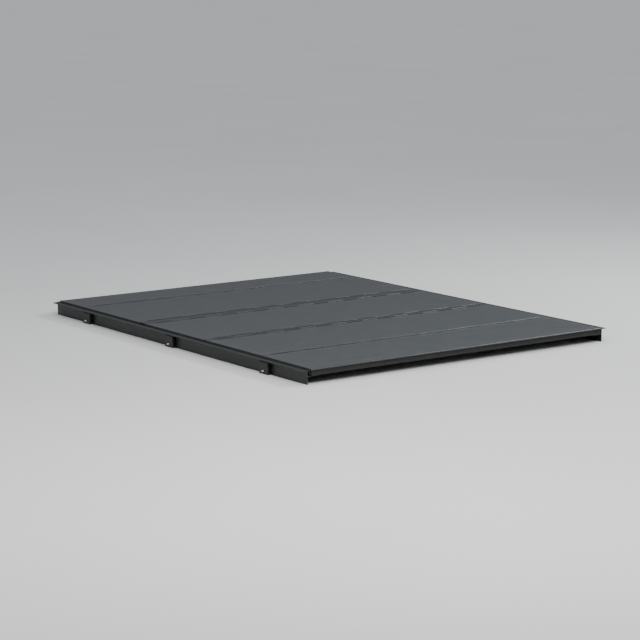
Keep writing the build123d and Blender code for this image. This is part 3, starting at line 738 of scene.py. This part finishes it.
def outline(corners):
    """Points around a section; each corner is (a, b, rounding radius)."""
    points = []
    for i, (a, b, radius) in enumerate(corners):
        here = Vector((a, b))
        if radius == 0:
            points.append(here)
            continue
        before = (Vector(corners[i - 1][:2]) - here).normalized()
        after = (Vector(corners[(i + 1) % len(corners)][:2]) - here).normalized()
        half = before.angle(after) / 2
        centre = here + (before + after).normalized() * radius / math.sin(half)
        first = here + before * radius / math.tan(half) - centre
        last = here + after * radius / math.tan(half) - centre
        sweep = first.angle(last)
        for step in range(ARC_STEPS + 1):
            turn = sweep * step / ARC_STEPS
            spoke = (first * math.sin(sweep - turn) + last * math.sin(turn)) / math.sin(sweep)
            points.append(centre + spoke)
    return points


def extruded(points, to_space, start, end):
    """A solid with that section from start to end; to_space gives a point's place in the frame."""
    bm = bmesh.new()
    ends = [[bm.verts.new(to_space(a, b, along)) for a, b in points] for along in (start, end)]
    count = len(points)
    for i in range(count):
        after = (i + 1) % count
        bm.faces.new((ends[0][i], ends[0][after], ends[1][after], ends[1][i]))
    bm.faces.new(ends[0])
    bm.faces.new(ends[1][::-1])
    bmesh.ops.recalc_face_normals(bm, faces=bm.faces)
    return bm


def drilled(bm, holes):
    """Cuts round holes, each (centre, axis, radius, reach to either side), out of a solid."""
    drill = bmesh.new()
    for centre, axis, radius, reach in holes:
        turned(drill, Vector(centre), axis, [(radius, -reach), (radius, reach)])
    body, tool = object_of("drilled_body", bm), object_of("drill", drill)
    cut = body.modifiers.new("cut", "BOOLEAN")
    cut.operation = "DIFFERENCE"
    cut.solver = "EXACT"
    cut.object = tool
    bpy.context.view_layer.update()
    shaped = body.evaluated_get(bpy.context.evaluated_depsgraph_get())
    result = bmesh.new()
    result.from_mesh(shaped.to_mesh())
    shaped.to_mesh_clear()
    bpy.data.objects.remove(body)
    bpy.data.objects.remove(tool)
    bmesh.ops.remove_doubles(result, verts=result.verts, dist=WELD)
    return result


# ---------------------------------------------------------------- rails, each one whole extrusion

WEB_INNER = 0.810
WEB_OUTER = 0.813
STRIKE_INNER = 0.802
LEDGE_INNER = 0.758
DRIP_OUTER = 0.761
FLANGE_TOP = 0.060
FLANGE_BOTTOM = 0.057
LEDGE_TOP = 0.036
LEDGE_BOTTOM = 0.033
DRIP_TOP = 0.040
EDGE_ROUND = 1.1 * MM
ROOT_ROUND = 1.0 * MM
DRAIN_BORE = 3.0 * MM
FRONT_BOLT_HOLE = 3.05 * MM
CLAMP_HOLE = 4.08 * MM
HOLE_REACH = 4.0 * MM
LEDGE_ROUND = 0.4 * MM


def rail_section(outer, web_top):
    """The right rail's section, as (across, up, rounding radius) corners."""
    edge, root = EDGE_ROUND, ROOT_ROUND
    return [
        (LEDGE_INNER, DRIP_TOP, edge),
        (DRIP_OUTER, DRIP_TOP, edge),
        (DRIP_OUTER, LEDGE_TOP, root),
        (WEB_INNER, LEDGE_TOP, root),
        (WEB_INNER, FLANGE_BOTTOM, root),
        (STRIKE_INNER, FLANGE_BOTTOM, edge),
        (STRIKE_INNER, FLANGE_TOP, edge),
        (WEB_INNER, FLANGE_TOP, root),
        (WEB_INNER, web_top, edge),
        (WEB_OUTER, web_top, edge),
        (WEB_OUTER, FLANGE_TOP, root),
        (outer, FLANGE_TOP, edge),
        (outer, FLANGE_BOTTOM, edge),
        (WEB_OUTER, FLANGE_BOTTOM, root),
        (WEB_OUTER, 0.0, edge),
        (WEB_INNER, 0.0, edge),
        (WEB_INNER, LEDGE_BOTTOM, root),
        (LEDGE_INNER, LEDGE_BOTTOM, LEDGE_ROUND),
    ]


def side_rail(side_name):
    """One whole extrusion, with the holes for clamp bolts, drain spouts and front panel bolts."""
    node = f"side_rail_{side_name}"
    side = SIDES[side_name]
    low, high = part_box(node)
    outer = max(abs(low[0]), abs(high[0]))
    section = outline(rail_section(outer, high[2]))
    bm = extruded(section, lambda a, b, along: (side * a, along, b), low[1], high[1])
    web_x = side * (WEB_INNER + WEB_OUTER) / 2
    ledge_z = (LEDGE_TOP + LEDGE_BOTTOM) / 2
    holes = []
    for place_name in PLACES:
        bolt_low, bolt_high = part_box(f"clamp_bolt_{place_name}_{side_name}")
        y, z = (bolt_low[1] + bolt_high[1]) / 2, (bolt_low[2] + bolt_high[2]) / 2
        holes.append(((web_x, y, z), (1, 0, 0), CLAMP_HOLE, HOLE_REACH))
    for fitting, radius in (("drain_spouts", DRAIN_BORE), ("front_panel_bolts", FRONT_BOLT_HOLE)):
        x = side * middle_of(fitting)[0]
        for y in ends_of(fitting):
            holes.append(((x, y, ledge_z), (0, 0, 1), radius, HOLE_REACH))
    bm = drilled(bm, holes)
    soften(bm, BEVEL["rail"])
    stand_in(node, bm)


# ---------------------------------------------------------------- screws and rivets

RIVET_ANGLES = (10, 25, 42, 58, 70)
RIVET_DIMPLE = 0.24
SCREW_ANGLES = (20, 40, 60)
SCREW_RIM = 0.25
SCREW_RECESS = 0.42


def rivet(bm, centre, axis, radius, height):
    """Domed head with a small dimple where the mandrel broke off."""
    dome = [(radius, 0.0)]
    for angle in RIVET_ANGLES:
        turn = math.radians(angle)
        dome.append((radius * math.cos(turn), height * math.sin(turn)))
    dimple = radius * RIVET_DIMPLE
    dome += [(dimple, height * 0.97), (dimple * 0.9, height * 0.6), (dimple * 0.2, height * 0.55)]
    turned(bm, centre, axis, dome)


def socket_screw(bm, centre, axis, radius, height):
    """Button head with a round drive recess."""
    head = [(radius, 0.0), (radius, height * SCREW_RIM)]
    for angle in SCREW_ANGLES:
        turn = math.radians(angle)
        rise = SCREW_RIM + (1 - SCREW_RIM) * math.sin(turn)
        head.append((radius * math.cos(turn), height * rise))
    recess = radius * SCREW_RECESS
    head += [(recess, height), (recess * 0.94, height * 0.92)]
    head += [(recess * 0.9, height * 0.25), (recess * 0.2, height * 0.2)]
    turned(bm, centre, axis, head)


def fixings(name, maker, spots, axis_of, size, node):
    """Rivets or screws of size (radius, height) at each spot, on the body that carries a node."""
    bm = bmesh.new()
    for spot in spots:
        maker(bm, Vector(spot), axis_of(spot), *size)
    piece(name, bm, MATERIALS["fastener"], BODY_OF[node])


def down(_spot):
    return (0, 0, -1)


def inboard(spot):
    return (-1 if spot[0] > 0 else 1, 0, 0)


def inset_corners(low, high, inset_x, inset_y, z):
    """The four corners of a box seen from above, moved inwards."""
    return [
        (x, y, z)
        for x in (low[0] + inset_x, high[0] - inset_x)
        for y in (low[1] + inset_y, high[1] - inset_y)
    ]


HOUSING_SCREW = (2.4 * MM, 1.3 * MM)
HOUSING_INSET = 5 * MM
BRACKET_RIVET = (2.3 * MM, 1.1 * MM)
BRACKET_INSETS = (3.4 * MM, 4 * MM)
BRACKET_BASE = 2.0 * MM
CRADLE_SCREW = (2.2 * MM, 1.2 * MM)
CRADLE_INSET = 5 * MM
CRADLE_RISE = 4 * MM


def all_fixings():
    for number in (3, 5):
        node = f"panel_{number}_latch_housings"
        spots = []
        for low, high in halves(node):
            spots += inset_corners(low, high, HOUSING_INSET, HOUSING_INSET, low[2])
        name = f"panel_{number}_housing_screws"
        fixings(name, socket_screw, spots, down, HOUSING_SCREW, node)
    node = "prop_rod_brackets"
    base_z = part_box("panel_2_bottom_skin")[0][2] - BRACKET_BASE
    spots = []
    for low, high in halves(node):
        spots += inset_corners(low, high, *BRACKET_INSETS, base_z)
    fixings("bracket_rivets", rivet, spots, down, BRACKET_RIVET, node)
    node = "prop_rod_cradles"
    spots = []
    for low, high in halves(node):
        inner_x = low[0] if low[0] > 0 else high[0]
        for y in (low[1] + CRADLE_INSET, high[1] - CRADLE_INSET):
            spots.append((inner_x, y, low[2] + CRADLE_RISE))
    fixings("cradle_screws", socket_screw, spots, inboard, CRADLE_SCREW, node)


# ---------------------------------------------------------------- tailgate seal

RIB_PITCH = 2.4 * MM
RIB_DEPTH = 0.45 * MM
RIB_START = 0.3
RIB_STEPS = ((0.0, 0.0), (0.22, RIB_DEPTH), (0.45, RIB_DEPTH), (0.67, 0.0))
FIN_THICKNESS = 2 * MM
BULB_FROM, BULB_TO = 128, 412
BULB_STEPS = 24
BULB_WAVES = 16
BULB_WAVE_DEPTH = 0.012


def tailgate_seal():
    """Ribbed fin with a round bulb at its foot, as one extruded rubber section."""
    node = "tailgate_seal"
    low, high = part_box(node)
    bulb = (high[1] - low[1]) / 2
    middle = (high[1] + low[1]) / 2
    fin_back = low[1] + FIN_THICKNESS
    centre_z = low[2] + bulb
    section = [(high[1], high[2]), (fin_back, high[2])]
    ribs = int((high[2] - centre_z - bulb) / RIB_PITCH)
    for rib in range(ribs):
        top = high[2] - RIB_PITCH * (rib + RIB_START)
        for share, cut in RIB_STEPS:
            section.append((fin_back + cut, top - RIB_PITCH * share))
    for step in range(BULB_STEPS + 1):
        angle = math.radians(BULB_FROM + step * (BULB_TO - BULB_FROM) / BULB_STEPS)
        radius = bulb * (1.0 - BULB_WAVE_DEPTH * (1 + math.cos(BULB_WAVES * angle)))
        across, up = radius * math.cos(angle), radius * math.sin(angle)
        section.append((middle + across, centre_z + up))
    section.append((high[1], centre_z + bulb))
    bm = extruded(section, lambda a, b, along: (along, a, b), low[0], high[0])
    stand_in(node, bm)


# ---------------------------------------------------------------- build the pieces

for number in PANELS:
    top_skin(number)

for place_name in PLACES:
    for side_name in SIDES:
        clamp_bolt(place_name, side_name)

for side_name in SIDES:
    side_rail(side_name)
tailgate_seal()
all_fixings()

for node, slot in sorted(SLOT_OF.items()):
    if slot == "core":
        NODES[node].material_slots[0].material = MATERIALS["core"]
    elif slot in ("panel_skin", "rail") or node == "tailgate_seal" or "clamp_bolt" in node:
        continue
    elif node == "side_seals":
        finished(node, SIDE_SEAL_RUBBER)
    else:
        finished(node)

# ---------------------------------------------------------------- floor, light and camera

FLOOR_HALF = 90.0
FLOOR_GRID = 6
FLOOR_CLOUD = 0.8
FLOOR_SHADES = ((0.70, 0.70, 0.69), (0.73, 0.73, 0.72))
CAMERA_OFFSET = Vector((-5.67, -7.81, 1.67))
FRAME_FILL = 0.90
SENSOR_MM = 36.0
HORIZON_HAZE = (0.41, 0.414, 0.418)
LOW_SKY = (0.10, 0.103, 0.107)
HIGH_SKY = (0.93, 0.96, 1.0)
SKY_STRENGTH = 0.95
SKY_RISE = (0.15, 0.85)
HAZE_FADE = (0.02, 0.11)
WARM_WHITE = (1.0, 0.985, 0.96)
COOL_WHITE = (0.95, 0.97, 1.0)


def floor_material():
    material, tree, shader = new_material("pale_floor")
    cloud = noise_at(tree, place(tree), FLOOR_CLOUD, detail=4.0)
    colour = blend_colours(tree, spread(tree, cloud), *FLOOR_SHADES)
    tree.links.new(colour, shader.inputs["Base Color"])
    shader.inputs["Roughness"].default_value = 0.75
    shader.inputs["Specular IOR Level"].default_value = 0.2
    return material


def floor(height):
    bm = bmesh.new()
    bmesh.ops.create_grid(bm, x_segments=FLOOR_GRID, y_segments=FLOOR_GRID, size=FLOOR_HALF)
    made = object_of("floor", bm)
    made.location.z = height
    made.data.materials.append(floor_material())


def area_light(name, position, target, size, power, colour):
    data = bpy.data.lights.new(name, "AREA")
    data.shape = "RECTANGLE"
    data.size, data.size_y = size
    data.energy = power
    data.color = colour
    lamp = bpy.data.objects.new(name, data)
    lamp.location = position
    lamp.rotation_euler = (Vector(target) - Vector(position)).to_track_quat("-Z", "Y").to_euler()
    bpy.context.scene.collection.objects.link(lamp)


def camera(low, high):
    """The photograph's viewing angle, aimed at the cover's middle and zoomed to fill the frame."""
    centre = (low + high) / 2
    data = bpy.data.cameras.new("camera")
    data.sensor_width = SENSOR_MM
    view = bpy.data.objects.new("camera", data)
    view.location = Vector((centre.x, centre.y, high.z)) + CAMERA_OFFSET
    turn = (centre - view.location).to_track_quat("-Z", "Y")
    view.rotation_euler = turn.to_euler()
    to_camera = (Matrix.Translation(view.location) @ turn.to_matrix().to_4x4()).inverted()
    widest = 0.0
    for x in (low.x, high.x):
        for y in (low.y, high.y):
            for z in (low.z, high.z):
                seen = to_camera @ Vector((x, y, z))
                widest = max(widest, abs(seen.x / seen.z), abs(seen.y / seen.z))
    data.lens = SENSOR_MM / 2 * FRAME_FILL / widest
    bpy.context.scene.collection.objects.link(view)
    bpy.context.scene.camera = view


def world():
    """Soft light from above that fades down to a dark band, with pale haze where the floor ends."""
    made = bpy.data.worlds.new("studio")
    made.use_nodes = True
    tree = made.node_tree
    background = tree.nodes["Background"]
    direction = tree.nodes.new("ShaderNodeTexCoord")
    parts = tree.nodes.new("ShaderNodeSeparateXYZ")
    tree.links.new(direction.outputs["Generated"], parts.inputs["Vector"])
    rise = remap(tree, parts.outputs["Z"], *SKY_RISE, 0.0, 1.0)
    sky = blend_colours(tree, rise, LOW_SKY, HIGH_SKY)
    far = remap(tree, parts.outputs["Z"], *HAZE_FADE, 1.0, 0.0)
    tree.links.new(blend_colours(tree, far, sky, HORIZON_HAZE), background.inputs["Color"])
    background.inputs["Strength"].default_value = SKY_STRENGTH
    bpy.context.scene.world = made


low, high = (Vector(corner) for corner in cad_box)
floor(low.z)
world()
area_light(
    "key",
    position=(-2.0, -3.3, 2.9),
    target=(0.1, -0.9, 0),
    size=(3.0, 2.0),
    power=150.0,
    colour=WARM_WHITE,
)
area_light(
    "fill",
    position=(3.2, -1.5, 2.9),
    target=(0.2, -1.0, 0),
    size=(3.4, 0.8),
    power=115.0,
    colour=COOL_WHITE,
)
camera(low, high)
